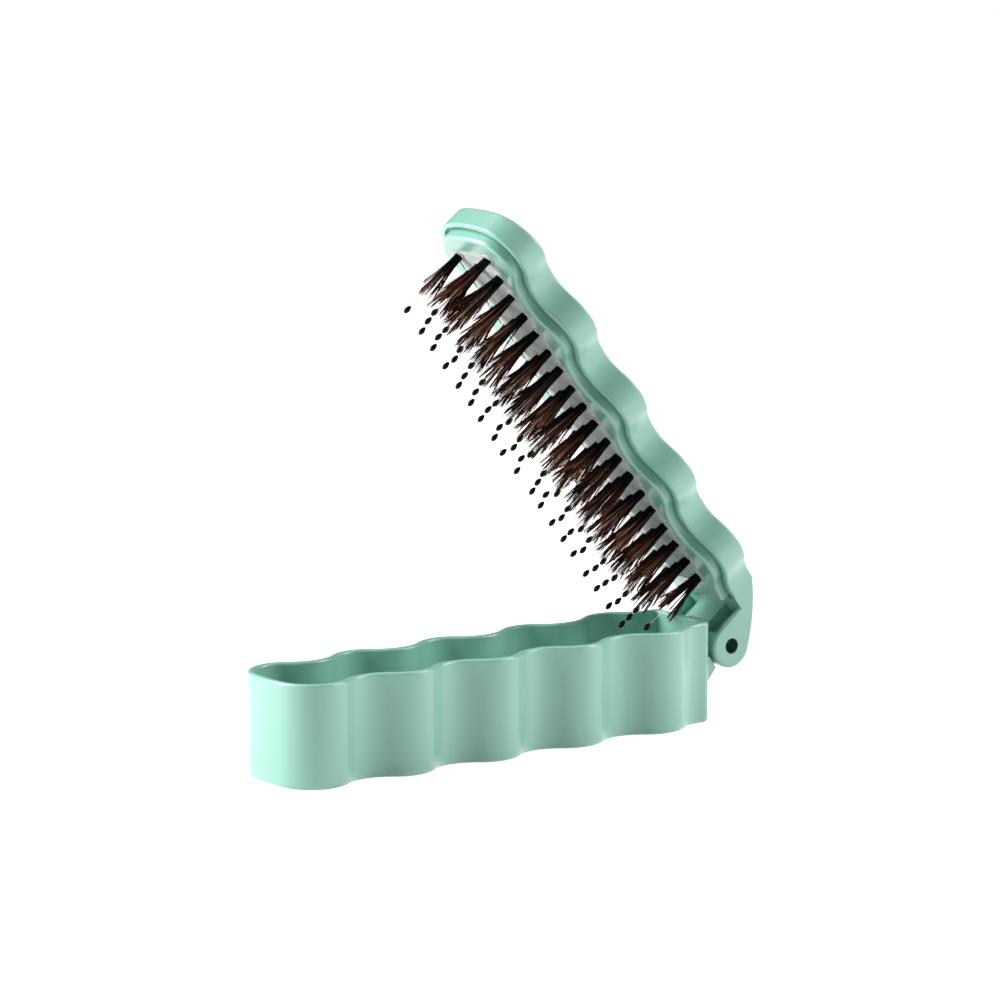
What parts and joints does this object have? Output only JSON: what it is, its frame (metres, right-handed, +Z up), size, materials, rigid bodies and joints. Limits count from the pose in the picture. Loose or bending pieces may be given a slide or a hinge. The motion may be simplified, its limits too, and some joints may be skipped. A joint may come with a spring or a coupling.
{
  "type": "folding travel brush",
  "caption": "Folding travel hair brush: a wavy trough-shaped case that serves as handle, with a hinged bristle head that folds into it.",
  "frame": {"origin": "middle of the case's flat base, half way along its length without the hinge", "axes": "+X along the case towards the hinge, +Y across it, +Z up from the base"},
  "size_m": [0.1352, 0.0294, 0.1275],
  "materials": {
    "mint_plastic": "satin moulded mint-green plastic",
    "grey_rubber": "matt light grey rubber",
    "brown_bristle": "dark brown natural bristle, redder at the tips",
    "pale_nylon": "pale translucent nylon",
    "black_bead": "glossy black",
    "white_plastic": "plain white moulding",
    "steel": "plain drawn steel"
  },
  "bodies": {
    "case": {"handle_case": "mint_plastic", "hinge_pin": "steel"},
    "head": {"head_shell": "mint_plastic", "bristle_frame": "mint_plastic", "cushion_pad": "grey_rubber", "pad_backing_plate": "white_plastic", "tuft_plugs_near_row": "white_plastic", "tuft_plugs_middle_row": "white_plastic", "tuft_plugs_far_row": "white_plastic", "bristle_tufts_near_row": "brown_bristle", "bristle_tufts_middle_row": "brown_bristle", "bristle_tufts_far_row": "brown_bristle", "bristle_pins_near_row": "pale_nylon", "bristle_pins_middle_row": "pale_nylon", "bristle_pins_far_row": "pale_nylon", "pin_beads_near_row": "black_bead", "pin_beads_middle_row": "black_bead", "pin_beads_far_row": "black_bead"}
  },
  "joints": [
    {"name": "head_fold", "type": "hinge", "parent": "case", "child": "head", "pos_m": [0.06715, 0, 0.0179], "axis": [0, 1, 0], "range_deg": [-52.4, 127.6]}
  ]
}
